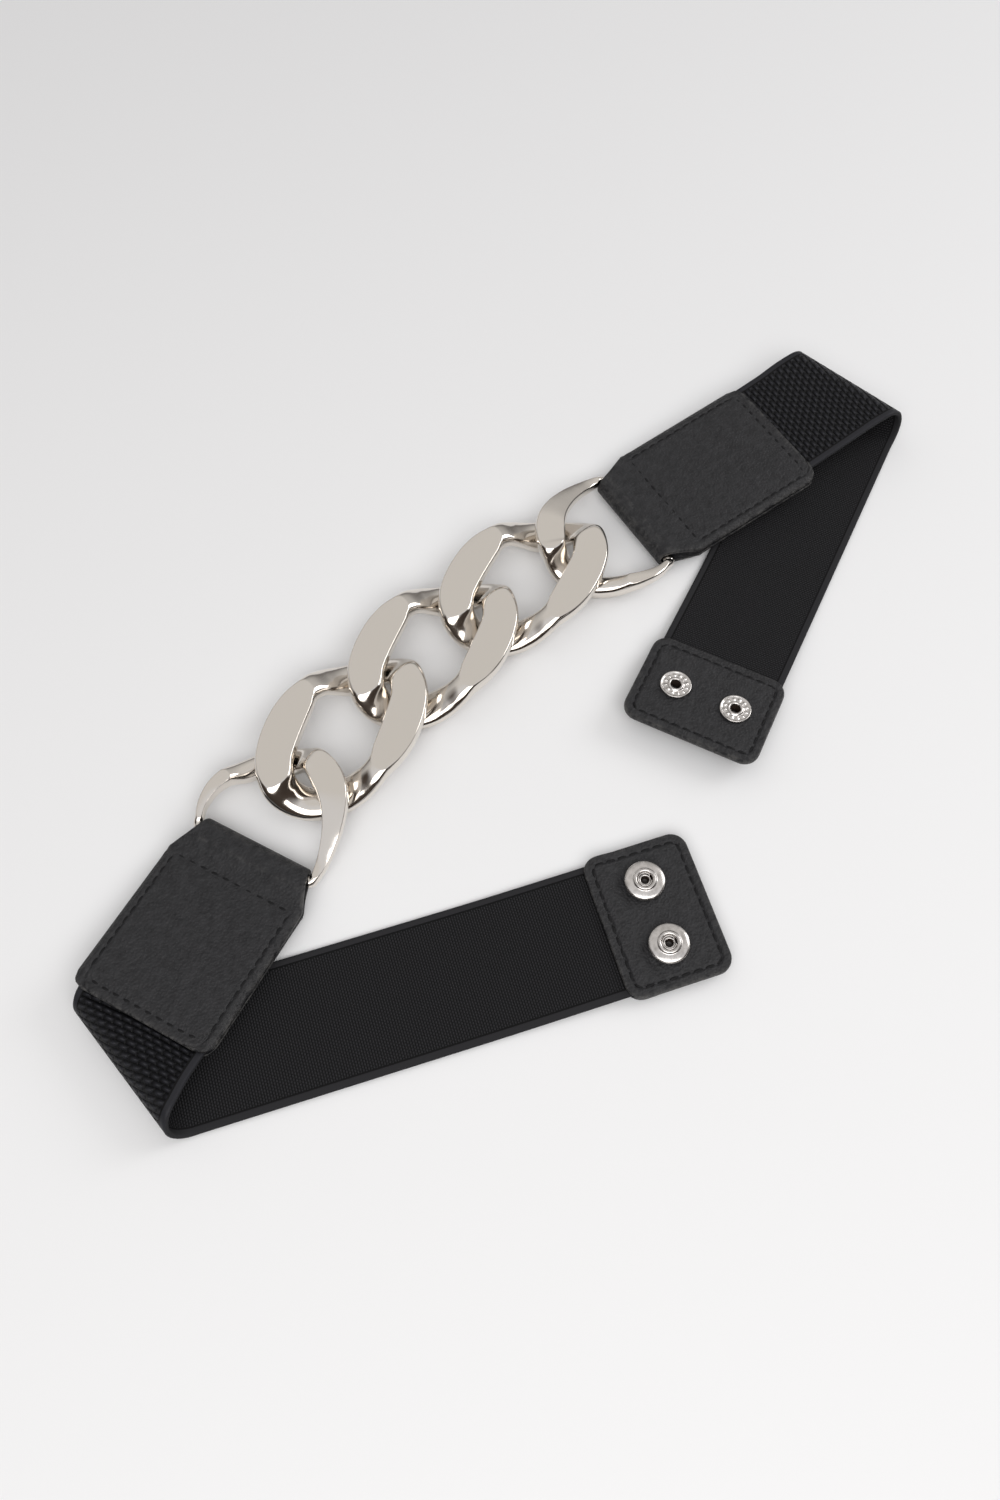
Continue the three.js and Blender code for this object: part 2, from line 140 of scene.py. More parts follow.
def soft_light(name, place, aim, size, power, colour):
    data = bpy.data.lights.new(name, "AREA")
    data.shape = "ELLIPSE"
    data.size = size[0]
    data.size_y = size[1]
    data.energy = power
    data.color = colour
    lamp = bpy.data.objects.new(name, data)
    bpy.context.scene.collection.objects.link(lamp)
    lamp.location = place
    lamp.rotation_euler = (Vector(aim) - Vector(place)).to_track_quat("-Z", "Y").to_euler()


soft_light("near_overhead", (-0.5, -0.5, 0.85), (0, 0, 0), (1.5, 0.7), 7.0, (1.0, 0.985, 0.965))
soft_light("right_fill", (0.9, -0.35, 0.6), (0, 0, 0), (0.6, 0.6), 3.2, (1.0, 1.0, 1.0))


# The curb chain: cast zinc rings, polished and nickel plated. Each link is wound so that it
# lies flat, and ground flat on its two high sides, which leaves a crisp edge round each flat.
PLAN_MIDDLE = (19.09, -19.68)


# Places in the plan of the laid belt, in millimetres, moved to the middle of the part's box
def from_plan(x, y):
    return x - PLAN_MIDDLE[0], y - PLAN_MIDDLE[1]


def new_material(name):
    material = bpy.data.materials.new(name)
    material.use_nodes = True
    return material, material.node_tree, material.node_tree.nodes["Principled BSDF"]


SAME_PLACE = 1e-7


# Welds the seams, fills the open ends and turns every face outwards, also on a hollow shape
def finish_piece(name, bm, material, node_names):
    bmesh.ops.remove_doubles(bm, verts=bm.verts, dist=SAME_PLACE)
    bmesh.ops.holes_fill(bm, edges=bm.edges, sides=0)
    bmesh.ops.recalc_face_normals(bm, faces=bm.faces)
    if bm.calc_volume(signed=True) < 0:
        bmesh.ops.reverse_faces(bm, faces=bm.faces)
    for face in bm.faces:
        face.smooth = True
    mesh = bpy.data.meshes.new(name)
    bm.to_mesh(mesh)
    bm.free()
    mesh.materials.append(material)
    piece = bpy.data.objects.new(name, mesh)
    bpy.context.scene.collection.objects.link(piece)
    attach(piece, "root")
    if node_names:
        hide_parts(*node_names)
    return piece


# A skin through rings of points: a grid is wrapped round them, and its seam is welded later.
# around tells whether the last ring joins the first. layers pairs an attribute with its values.
def loft(bm, rings, around, layers=()):
    stations = len(rings)
    points = len(rings[0])
    rows = stations if around else stations - 1
    sheet = bmesh.ops.create_grid(bm, x_segments=points, y_segments=rows, size=MM)["verts"]
    for i, vert in enumerate(sheet):
        station = i // (points + 1) % stations
        point = i % (points + 1) % points
        vert.co = rings[station][point]
        for layer, values in layers:
            vert[layer] = values[station][point]
    return sheet


metal, tree, shader = new_material("polished_nickel")
shader.inputs["Metallic"].default_value = 1.0
shader.inputs["Base Color"].default_value = (0.79, 0.745, 0.69, 1)
place_on = tree.nodes.new("ShaderNodeTexCoord")
haze = tree.nodes.new("ShaderNodeTexNoise")
haze.inputs["Scale"].default_value = 90
haze.inputs["Detail"].default_value = 3
tree.links.new(place_on.outputs["Object"], haze.inputs["Vector"])
polish = tree.nodes.new("ShaderNodeMapRange")
polish.inputs["To Min"].default_value = 0.07
polish.inputs["To Max"].default_value = 0.15
tree.links.new(haze.outputs["Fac"], polish.inputs["Value"])
tree.links.new(polish.outputs["Result"], shader.inputs["Roughness"])
ripple = tree.nodes.new("ShaderNodeTexNoise")
ripple.inputs["Scale"].default_value = 140
ripple.inputs["Detail"].default_value = 2
tree.links.new(place_on.outputs["Object"], ripple.inputs["Vector"])
dent = tree.nodes.new("ShaderNodeBump")
dent.inputs["Strength"].default_value = 0.12
dent.inputs["Distance"].default_value = 0.0006
tree.links.new(ripple.outputs["Fac"], dent.inputs["Height"])
tree.links.new(dent.outputs["Normal"], shader.inputs["Normal"])


LOW_SIDE_POWER = 2.2
DOMING = 0.34


# Squares off a sine or cosine: a power of 2 leaves it round, a higher one makes it boxier
def rounded(value, power):
    return np.sign(value) * np.abs(value) ** (2 / power)


# Half a link from one crease to the next: outer edge (x, y), inner edge (x, y), middle height,
# height of the flat, rise, drop, squareness of the top, and 1 where the flat ends in a crease.
HALF_LINK = np.array([
    (2.8, 20.9, 2.0, 12.8, 9.7, 13.0, 3.8, 3.0, 3.0, 1),
    (-3.0, 21.1, -0.8, 11.5, 9.9, 13.0, 3.9, 3.1, 3.6, 0),
    (-9.0, 20.3, -4.8, 9.8, 9.9, 13.0, 3.9, 3.1, 3.8, 0),
    (-15.0, 18.3, -9.0, 8.0, 9.9, 13.0, 3.9, 3.1, 3.8, 0),
    (-20.5, 15.5, -13.2, 6.1, 9.9, 13.0, 3.9, 3.1, 3.8, 0),
    (-25.5, 11.8, -17.0, 4.0, 9.9, 13.0, 3.9, 3.1, 3.5, 0),
    (-29.3, 7.0, -19.2, 1.8, 9.8, 13.0, 3.9, 3.1, 2.9, 0),
    (-31.4, 1.8, -20.5, -0.1, 9.2, 13.0, 3.8, 3.1, 2.3, 0),
    (-30.8, -3.4, -20.1, -2.2, 6.3, 13.0, 3.1, 3.2, 2.1, 0),
    (-27.8, -9.0, -18.4, -4.3, 3.6, 13.0, 2.9, 3.6, 2.1, 0),
    (-23.0, -13.9, -15.6, -6.2, 3.1, 13.0, 3.0, 3.7, 2.1, 0),
    (-17.4, -17.5, -12.2, -8.2, 3.6, 13.0, 3.0, 3.7, 2.2, 0),
    (-12.0, -19.9, -8.9, -10.6, 6.0, 13.0, 3.1, 3.4, 2.3, 0),
    (-7.1, -20.9, -5.5, -12.6, 8.6, 13.0, 3.3, 3.2, 2.5, 0),
])


# Fills in the rows between those given, on a smooth curve that breaks only at a crease
def smooth_rows(rows, per_row):
    count = len(rows)
    result = []
    for i in range(count):
        before, here, ahead, beyond = (rows[(i + k) % count] for k in (-1, 0, 1, 2))
        start_slope = (ahead - before) / 2
        end_slope = (beyond - here) / 2
        if here[9]:
            start_slope = np.where(np.arange(10) > 3, ahead - here, start_slope)
        if ahead[9]:
            end_slope = np.where(np.arange(10) > 3, ahead - here, end_slope)
        for part in np.linspace(0, 1, per_row, endpoint=False):
            square, cube = part * part, part ** 3
            result.append((2 * cube - 3 * square + 1) * here + (cube - 2 * square + part) * start_slope
                          + (3 * square - 2 * cube) * ahead + (cube - square) * end_slope)
    return np.array(result)


def ring_piece(name, rows, per_row, spot, turn):
    around = np.linspace(0, 2 * math.pi, 72, endpoint=False)
    rings = []
    for row in smooth_rows(rows, per_row):
        outer, inner = row[0:2], row[2:4]
        power = np.where(np.sin(around) > 0, row[8], LOW_SIDE_POWER)
        across = rounded(np.cos(around), power)
        up = rounded(np.sin(around), power)
        plan = (outer + inner) / 2 + (outer - inner) / 2 * across[:, None]
        height = row[4] + up * np.where(up > 0, row[6], row[7])
        height = np.clip(height, 0.0, row[5] - DOMING * (across - 0.1) ** 2)
        rings.append(np.column_stack([plan, height]))
    rings = np.array(rings)
    cosine, sine = math.cos(math.radians(turn)), math.sin(math.radians(turn))
    x = rings[..., 0] * cosine - rings[..., 1] * sine + spot[0]
    y = rings[..., 0] * sine + rings[..., 1] * cosine + spot[1]
    rings = np.stack([x, y, rings[..., 2]], axis=-1) * MM
    bm = bmesh.new()
    loft(bm, rings, around=True)
    finish_piece(f"polished_{name}", bm, metal, [name])


half_turn = np.array([-1, -1, -1, -1, 1, 1, 1, 1, 1, 1])
whole_link = np.vstack([HALF_LINK, HALF_LINK * half_turn])
for name, x, y, turn in (
    ("chain_link_1", -32.9, 33.9, 5),
    ("chain_link_2", 6.5, 35.5, 0),
    ("chain_link_3", 44.4, 33.5, -5),
):
    ring_piece(name, whole_link, 14, from_plan(x, y), turn)

# The D-shaped end links: the same cast metal, thinner towards the straight bar that lies in
# the leather. One arm rises from the bar in a long sloping flat, the other stays low.
END_LINK = np.array([
    (36.3, -1.4, 27.6, -0.6, 9.3, 13.0, 3.8, 3.1, 2.4, 0),
    (35.9, 4.2, 27.4, 2.8, 4.9, 10.0, 2.9, 3.4, 2.2, 0),
    (33.2, 10.6, 25.6, 7.4, 3.1, 9.0, 3.0, 3.7, 2.1, 0),
    (28.6, 15.9, 22.3, 11.8, 3.1, 9.0, 3.0, 3.7, 2.1, 0),
    (22.8, 19.8, 18.8, 14.6, 3.9, 9.0, 3.0, 3.7, 2.2, 0),
    (17.4, 22.4, 15.3, 17.6, 5.8, 8.7, 3.5, 3.2, 2.6, 1),
    (11.5, 23.4, 11.0, 19.4, 6.1, 8.6, 3.2, 3.0, 3.0, 0),
    (6.0, 23.0, 5.9, 19.9, 5.4, 7.7, 2.8, 2.6, 2.8, 0),
    (1.8, 21.6, 2.4, 18.9, 4.7, 6.8, 2.2, 2.2, 2.4, 0),
    (-0.6, 20.6, 1.7, 18.3, 4.3, 6.6, 1.8, 1.8, 2.0, 0),
    (-1.7, 17.8, 1.7, 17.8, 4.3, 6.6, 1.7, 1.7, 2.0, 0),
    (-1.7, 6.0, 1.7, 6.0, 4.3, 6.6, 1.7, 1.7, 2.0, 0),
    (-1.7, -6.0, 1.7, -6.0, 4.3, 6.6, 1.7, 1.7, 2.0, 0),
    (-1.7, -17.6, 1.7, -17.6, 4.3, 6.6, 1.7, 1.7, 2.0, 0),
    (-0.6, -20.2, 1.7, -17.9, 4.3, 6.6, 1.8, 1.8, 2.0, 0),
    (2.0, -21.0, 2.5, -18.1, 4.4, 6.4, 2.2, 2.1, 2.6, 0),
    (6.3, -21.2, 5.6, -17.7, 4.8, 7.0, 2.8, 2.3, 3.2, 0),
    (12.0, -20.9, 9.9, -16.6, 6.1, 8.6, 3.2, 2.6, 3.4, 0),
    (17.5, -20.1, 14.8, -14.6, 7.6, 10.3, 3.4, 2.6, 3.4, 0),
    (23.2, -18.5, 19.4, -11.7, 9.0, 11.9, 3.6, 2.6, 3.4, 0),
    (28.2, -16.0, 22.6, -8.6, 9.8, 12.9, 3.8, 3.0, 3.4, 0),
    (32.4, -12.0, 24.9, -5.4, 9.9, 13.0, 3.9, 3.1, 3.4, 0),
    (35.3, -6.4, 26.8, -2.4, 9.9, 13.0, 3.9, 3.1, 3.2, 0),
])
LOOPS = (
    ("left", -77.3, 24.1, 197.3, 57.0),
    ("right", 89.0, 25.3, -12.0, 58.3),
)
for side_name, x, y, to_fold, length in LOOPS:
    ring_piece(f"end_link_{side_name}", END_LINK, 15, from_plan(x, y), to_fold + 180)

# The leather is smooth-grained and charcoal black, about 1.3 mm thick, with a fine pebble,
# faint creases and paler, scuffed edges. It is sewn with black thread in a pressed groove.
leather, tree, shader = new_material("charcoal_leather")
shader.inputs["Specular IOR Level"].default_value = 0.3
place_on = tree.nodes.new("ShaderNodeTexCoord")
pebble = tree.nodes.new("ShaderNodeTexVoronoi")
pebble.inputs["Scale"].default_value = 1250
tree.links.new(place_on.outputs["Object"], pebble.inputs["Vector"])
cloudy = tree.nodes.new("ShaderNodeTexNoise")
cloudy.inputs["Scale"].default_value = 420
cloudy.inputs["Detail"].default_value = 7
cloudy.inputs["Roughness"].default_value = 0.62
tree.links.new(place_on.outputs["Object"], cloudy.inputs["Vector"])
tone = tree.nodes.new("ShaderNodeValToRGB")
tone.color_ramp.elements[0].position = 0.32
tone.color_ramp.elements[0].color = (0.014, 0.014, 0.0155, 1)
tone.color_ramp.elements[1].position = 0.72
tone.color_ramp.elements[1].color = (0.029, 0.029, 0.0315, 1)
tree.links.new(cloudy.outputs["Fac"], tone.inputs[0])
wear = tree.nodes.new("ShaderNodeAttribute")
wear.attribute_name = "wear"
scuffs = tree.nodes.new("ShaderNodeMapRange")
scuffs.inputs["From Min"].default_value = 0.42
scuffs.inputs["From Max"].default_value = 0.62
tree.links.new(cloudy.outputs["Fac"], scuffs.inputs["Value"])
scuffed = tree.nodes.new("ShaderNodeMath")
scuffed.operation = "MULTIPLY"
tree.links.new(scuffs.outputs["Result"], scuffed.inputs[0])
tree.links.new(wear.outputs["Fac"], scuffed.inputs[1])
rubbed = tree.nodes.new("ShaderNodeMix")
rubbed.data_type = "RGBA"
rubbed.inputs[7].default_value = (0.07, 0.068, 0.066, 1)
tree.links.new(scuffed.outputs[0], rubbed.inputs[0])
tree.links.new(tone.outputs[0], rubbed.inputs[6])
tree.links.new(rubbed.outputs[2], shader.inputs["Base Color"])
dull = tree.nodes.new("ShaderNodeMapRange")
dull.inputs["To Min"].default_value = 0.38
dull.inputs["To Max"].default_value = 0.62
tree.links.new(cloudy.outputs["Fac"], dull.inputs["Value"])
tree.links.new(dull.outputs["Result"], shader.inputs["Roughness"])
grain = tree.nodes.new("ShaderNodeBump")
grain.inputs["Strength"].default_value = 0.5
grain.inputs["Distance"].default_value = 0.0005
tree.links.new(pebble.outputs["Distance"], grain.inputs["Height"])
wrinkle = tree.nodes.new("ShaderNodeBump")
wrinkle.inputs["Strength"].default_value = 0.45
wrinkle.inputs["Distance"].default_value = 0.0011
tree.links.new(cloudy.outputs["Fac"], wrinkle.inputs["Height"])
tree.links.new(grain.outputs["Normal"], wrinkle.inputs["Normal"])
tree.links.new(wrinkle.outputs["Normal"], shader.inputs["Normal"])

thread, tree, shader = new_material("black_thread")
shader.inputs["Roughness"].default_value = 0.6
shader.inputs["Specular IOR Level"].default_value = 0.25
place_on = tree.nodes.new("ShaderNodeTexCoord")
twist = tree.nodes.new("ShaderNodeTexNoise")
twist.inputs["Scale"].default_value = 1800
tree.links.new(place_on.outputs["Object"], twist.inputs["Vector"])
strands = tree.nodes.new("ShaderNodeValToRGB")
strands.color_ramp.elements[0].color = (0.0015, 0.0015, 0.002, 1)
strands.color_ramp.elements[1].color = (0.006, 0.006, 0.007, 1)
tree.links.new(twist.outputs["Fac"], strands.inputs[0])
tree.links.new(strands.outputs[0], shader.inputs["Base Color"])


STITCH_PITCH = 3.5
STITCH_HALF_LENGTH = 1.35
STITCH_FORM = ((-1, 0.25), (-0.85, 0.7), (-0.5, 0.95), (0, 1), (0.5, 0.95), (0.85, 0.7), (1, 0.25))
THREAD_HALF_WIDTH = 0.46
THREAD_HALF_HEIGHT = 0.2
THREAD_DEPTH = 0.12
END_SAG = 0.16


# One row of stitches along a path: points (x, y) in millimetres, each stitch a short lens of
# thread lying in the groove. height gives the leather's surface and side is 1 above, -1 below.
def sew(bm, path, height, side, frame_matrix):
    path = np.array(path)
    steps = np.linalg.norm(np.diff(path, axis=0), axis=1)
    length = np.concatenate([[0], np.cumsum(steps)])
    count = int(length[-1] / STITCH_PITCH)
    for at in (np.arange(count) + 0.5) * length[-1] / count:
        ends = [np.array([np.interp(at + k, length, path[:, 0]), np.interp(at + k, length, path[:, 1])])
                for k in (-STITCH_HALF_LENGTH, STITCH_HALF_LENGTH)]
        middle = (ends[0] + ends[1]) / 2
        half = (ends[1] - ends[0]) / 2
        across = np.array([-half[1], half[0]]) / np.linalg.norm(half)
        rings = []
        for along, fat in STITCH_FORM:
            ring = []
            for angle in np.linspace(0, 2 * math.pi, 8, endpoint=False):
                spot = middle + half * along + across * THREAD_HALF_WIDTH * fat * math.cos(angle)
                depth = THREAD_DEPTH + END_SAG * along * along
                lift = height(spot[0]) - depth + THREAD_HALF_HEIGHT * fat * math.sin(angle)
                ring.append(frame_matrix @ Vector((spot[0], spot[1], side * lift)))
            rings.append(ring)
        loft(bm, rings, around=False)


# The leather loops: a strip wrapped round the bar of each end link and sewn to itself and to
# the webbing, with sloping shoulders beside the bar and rounded corners at the back.
BAR_HEIGHT = 4.3
LOOP_SLOPE = 5.5
LOOP_CORNER = 4.5
LOOP_LIFT = 2.4
LOOP_SEAM_INSET = 2.9
CROSS_SEAM = 11.2
GROOVE_DEPTH = 0.42
EDGE_ROUNDING = 0.45
LOOP_STITCH_HEIGHT = 2.22


# Section of a loop: the outer and inner side of the leather from the upper back edge round
# the bar to the lower back edge, as pairs of (x, z) at the same stations.
def loop_section(length):
    def half(inner):
        reach, lift, bend = (8.0, 1.1, (3.5, 2.2)) if inner else (9.0, LOOP_LIFT, (4.0, 3.5))
        nose = 2.2 if inner else 3.5
        points = []
        for part in np.linspace(0, 1, 60, endpoint=False):
            points.append((length + (reach - length) * part, lift))
        for part in np.linspace(0, 1, 12, endpoint=False):
            x = (1 - part) ** 2 * reach + 2 * part * (1 - part) * bend[0]
            z = (1 - part) ** 2 * lift + 2 * part * (1 - part) * bend[1] + part * part * nose
            points.append((x, z))
        for angle in np.linspace(90, 180, 10):
            points.append((nose * math.cos(math.radians(angle)), nose * math.sin(math.radians(angle))))
        upper = np.array(points)
        lower = upper[-2::-1] * np.array([1, -1])
        return np.vstack([upper, lower])

    return half(inner=False), half(inner=True)


def loop_half_width(x, length):
    part = np.linspace(0, 1, 40)
    shoulder_x = (1 - part) ** 2 * -4.3 + 2 * part * (1 - part) * 3 + part ** 2 * 10
    shoulder_w = (1 - part) ** 2 * 17.2 + 2 * part * (1 - part) * 18.7 + part ** 2 * 22.5
    wide = np.interp(x, shoulder_x, shoulder_w)
    corner = max(0.0, x - (length - LOOP_CORNER))
    return wide - LOOP_CORNER + math.sqrt(max(0.0, LOOP_CORNER ** 2 - corner ** 2))


def leather_loop(side_name, x, y, to_fold, length):
    outer, inner = loop_section(length)
    near_edge = np.linspace(0.8, 1, 22)
    across = np.concatenate([-near_edge[::-1], np.linspace(-0.8, 0.8, 30)[1:-1], near_edge])
    bm = bmesh.new()
    wear_layer = bm.verts.layers.float.new("wear")
    rings = []
    worn = []
    for (ox, oz), (ix, iz) in zip(outer, inner):
        half = loop_half_width(ox, length)
        top = []
        under = []
        marks = []
        for v in across:
            spread = v * half
            pinch = np.interp(abs(spread), (20.9, 22.4), (0.0, 1.0)) * np.interp(ox, (6, 14), (0, 1))
            squeeze = 0.9 * pinch * np.sign(oz)
            edge = max(0.0, abs(spread) - (half - EDGE_ROUNDING)) / EDGE_ROUNDING
            soft = 0.35 * (1 - math.sqrt(max(0.0, 1 - edge * edge)))
            seam = math.exp(-((half - abs(spread) - LOOP_SEAM_INSET) / 0.4) ** 2)
            seam *= np.interp(ox, (9, 12), (0, 1))
            hem = math.exp(-((length - ox - LOOP_SEAM_INSET) / 0.5) ** 2)
            cross = math.exp(-((ox - CROSS_SEAM) / 0.5) ** 2)
            soft += GROOVE_DEPTH * max(seam, hem, cross)
            soft += 0.12 * math.sin(spread * 0.31 + ox * 0.45 + x) * math.exp(-((ox - 8) / 5) ** 2)
            normal = np.array([ox - ix, oz - iz])
            normal /= np.linalg.norm(normal)
            top.append((ox - normal[0] * soft, spread, oz - squeeze - normal[1] * soft))
            under.append((ix, spread, iz - squeeze))
            rim = math.exp(-(half - abs(spread)) / 0.55)
            back = math.exp(-(length - ox) / 0.6)
            nose = 0.55 * math.exp(-((ox + 2.6) / 1.6) ** 2)
            crease = 0.5 * math.exp(-((ox - (1.0 if side_name == "right" else 4.0)) / 0.45) ** 2)
            marks.append(max(rim, back, nose, crease))
        rings.append(top + under[::-1])
        worn.append(marks + marks[::-1])
    loft(bm, rings, around=False, layers=((wear_layer, worn),))
    spot = Matrix.Translation((*from_plan(x, y), BAR_HEIGHT))
    lean = Matrix.Rotation(math.radians(-LOOP_SLOPE), 4, "Y")
    turn = Matrix.Rotation(math.radians(to_fold), 4, "Z") @ lean
    to_belt = Matrix.Scale(MM, 4) @ spot @ turn
    bm.transform(to_belt)
    finish_piece(f"sewn_loop_{side_name}", bm, leather, [f"leather_loop_{side_name}"])

    round_back = [(12, 19.6), (length - 6.5, 19.6), (length - 3.9, 18.5), (length - LOOP_SEAM_INSET, 16)]
    path = round_back + [(px, -py) for px, py in round_back[::-1]]
    bm = bmesh.new()
    for side in (1, -1):
        sew(bm, path, lambda at: LOOP_STITCH_HEIGHT, side, to_belt)
        sew(bm, [(CROSS_SEAM, -19), (CROSS_SEAM, 19)], lambda at: LOOP_STITCH_HEIGHT, side, to_belt)
    finish_piece(f"loop_stitches_{side_name}", bm, thread, [])


for row in LOOPS:
    leather_loop(*row)

# The tabs: two leathers glued into one, sewn round the edge, with rounded corners. They are
# thicker at the mouth where the webbing goes in.
TABS = (
    ("socket_tab", -7.6, -70.9, 2.9, 152.6, 2.4),
    ("stud_tab", 53.4, -35.6, 5.5, 19.4, 5.5),
)
TAB_LENGTH = 31.9
TAB_WIDTH = 43.8
TAB_CORNER = 5
TAB_SEAM_INSET = 2.8
SLOT_START = 8
SLOT_DEPTH = 15.9
SLOT_WIDTH = 41.0
SLOT_HEIGHT = 2.2
SNAP_SPOTS = (-9.8, 9.8)
SNAP_HOLE_RADIUS = 2.1


def tab_frame(row):
    _, x, y, z, to_strap, tilt = row
    spot = Matrix.Translation((*from_plan(x, y), z))
    turn = Matrix.Rotation(math.radians(to_strap), 4, "Z") @ Matrix.Rotation(math.radians(tilt), 4, "Y")
    return Matrix.Scale(MM, 4) @ spot @ turn


def tab_outline(inset):
    half_x = TAB_LENGTH / 2 - inset
    half_y = TAB_WIDTH / 2 - inset
    corner = max(TAB_CORNER - inset, 0.02)
    points = []
    centres = ((1, 1, 0), (-1, 1, 90), (-1, -1, 180), (1, -1, 270))
    for i, (sx, sy, start) in enumerate(centres):
        cx, cy = sx * (half_x - corner), sy * (half_y - corner)
        for angle in np.linspace(start, start + 90, 9):
            turned = math.radians(angle)
            points.append((cx + corner * math.cos(turned), cy + corner * math.sin(turned)))
        nx, ny, _ = centres[(i + 1) % 4]
        next_point = np.array((nx * (half_x - corner), ny * (half_y - corner)))
        next_turn = math.radians(start + 90)
        end = next_point + corner * np.array((math.cos(next_turn), math.sin(next_turn)))
        begin = np.array(points[-1])
        for part in np.linspace(0, 1, 30)[1:-1]:
            points.append(tuple(begin + (end - begin) * part))
    return np.array(points)


# Half the thickness of a tab, more where the webbing is inside
def tab_half(x):
    return 1.4 + 0.7 * np.interp(x, (6.3, 8.8), (0, 1))


def snap_tab(row):
    bm = bmesh.new()
    wear_layer = bm.verts.layers.float.new("wear")
    insets = np.concatenate([np.linspace(EDGE_ROUNDING, 4, 18), np.linspace(4, 15.7, 12)[1:]])
    rings = []
    worn = []
    for side in (1, -1):
        flat = []
        marks = []
        for inset in insets:
            groove = GROOVE_DEPTH * math.exp(-((inset - TAB_SEAM_INSET) / 0.45) ** 2)
            sag = 0.12 * math.exp(-inset / 1.5)
            outline = tab_outline(inset)
            flat.append([(px, py, side * (tab_half(px) - groove - sag)) for px, py in outline])
            marks.append(math.exp(-inset / 0.5))
        rings = rings + (flat[::-1] if side > 0 else flat)
        worn = worn + (marks[::-1] if side > 0 else marks)
        if side > 0:
            for angle in np.linspace(75, -75, 7):
                turned = math.radians(angle)
                outline = tab_outline(EDGE_ROUNDING * (1 - math.cos(turned)))
                lift = math.sin(turned)
                rings.append([(px, py, lift * (tab_half(px) - 0.12)) for px, py in outline])
                worn.append(0.9)
    worn_rings = [[mark] * len(ring) for ring, mark in zip(rings, worn)]
    loft(bm, rings, around=False, layers=((wear_layer, worn_rings),))
    to_belt = tab_frame(row)
    bm.transform(to_belt)
    tab = finish_piece(f"sewn_{row[0]}", bm, leather, [row[0]])

    cutter = bmesh.new()
    bmesh.ops.create_cube(cutter, size=1.0)
    bmesh.ops.scale(cutter, verts=cutter.verts, vec=(SLOT_DEPTH, SLOT_WIDTH, SLOT_HEIGHT))
    bmesh.ops.translate(cutter, verts=cutter.verts, vec=(SLOT_START + SLOT_DEPTH / 2, 0, 0))
    for spot in SNAP_SPOTS:
        hole = bmesh.ops.create_cone(cutter, cap_ends=True, segments=32, radius1=SNAP_HOLE_RADIUS,
                                     radius2=SNAP_HOLE_RADIUS, depth=9.0)
        bmesh.ops.translate(cutter, verts=hole["verts"], vec=(0, spot, 0))
    cutter.transform(to_belt)
    cut_mesh = bpy.data.meshes.new("slot_and_holes")
    cutter.to_mesh(cut_mesh)
    cutter.free()
    cut_object = bpy.data.objects.new("slot_and_holes", cut_mesh)
    bpy.context.scene.collection.objects.link(cut_object)
    cut = tab.modifiers.new("slot_and_holes", "BOOLEAN")
    cut.operation = "DIFFERENCE"
    cut.solver = "EXACT"
    cut.object = cut_object
    bpy.context.view_layer.update()
    hollow = bpy.data.meshes.new_from_object(tab.evaluated_get(bpy.context.evaluated_depsgraph_get()))
    tab.modifiers.remove(cut)
    tab.data = hollow
    bpy.data.objects.remove(cut_object)
    for face in hollow.polygons:
        face.use_smooth = face.area < 4e-6 or len(face.vertices) == 4

    bm = bmesh.new()
    path = tab_outline(TAB_SEAM_INSET)
    path = np.vstack([path, path[:1]])
    for side in (1, -1):
        sew(bm, path, lambda at: tab_half(at) - 0.16, side, to_belt)
    finish_piece(f"{row[0]}_stitches", bm, thread, [])


for row in TABS:
    snap_tab(row)

# The elastic webbing, 40 mm wide: a fine, flat, matte knit on the inside and a raised braid
# of rounded cells outside, with a plain woven edge. Each strap is folded back on itself.
WEBBING_WIDTH = 40
WEBBING_HALF_THICKNESS = 0.8
CELLS_END = 17.6
PLAIN_EDGE_START = 18.1
FOLD_RADIUS = 5


def math_node(tree, operation, first, second=None):
    node = tree.nodes.new("ShaderNodeMath")
    node.operation = operation
    for socket, value in zip(node.inputs, (first, second)):
        if value is None:
            continue
        if isinstance(value, (int, float)):
            socket.default_value = value
        else:
            tree.links.new(value, socket)
    return node.outputs[0]


def weave_group(name, pitch_along, pitch_across, plainness):
    group = bpy.data.node_groups.new(name, "ShaderNodeTree")
    group.interface.new_socket("Along", in_out="INPUT", socket_type="NodeSocketFloat")
    group.interface.new_socket("Across", in_out="INPUT", socket_type="NodeSocketFloat")
    group.interface.new_socket("Height", in_out="OUTPUT", socket_type="NodeSocketFloat")
    enter = group.nodes.new("NodeGroupInput").outputs
    leave = group.nodes.new("NodeGroupOutput").inputs
    row = math_node(group, "DIVIDE", enter["Along"], pitch_along)
    ridge = math_node(group, "SINE", math_node(group, "MULTIPLY", math_node(group, "FRACT", row), math.pi))
    odd_row = math_node(group, "MODULO", math_node(group, "FLOOR", row), 2)
    stagger = math_node(group, "MULTIPLY", odd_row, 0.5)
    cell = math_node(group, "ADD", math_node(group, "DIVIDE", enter["Across"], pitch_across), stagger)
    cell_turn = math_node(group, "MULTIPLY", cell, math.pi)
    bead = math_node(group, "ABSOLUTE", math_node(group, "SINE", cell_turn))
    lobe = math_node(group, "ADD", math_node(group, "MULTIPLY", bead, 1 - plainness), plainness)
    cells = math_node(group, "MULTIPLY", ridge, lobe)
    reach = math_node(group, "ABSOLUTE", enter["Across"])
    inside = math_node(group, "LESS_THAN", reach, CELLS_END)
    rim = math_node(group, "MULTIPLY", math_node(group, "GREATER_THAN", reach, PLAIN_EDGE_START), 0.75)
    woven = math_node(group, "ADD", math_node(group, "MULTIPLY", cells, inside), rim)
    group.links.new(woven, leave["Height"])
    return group


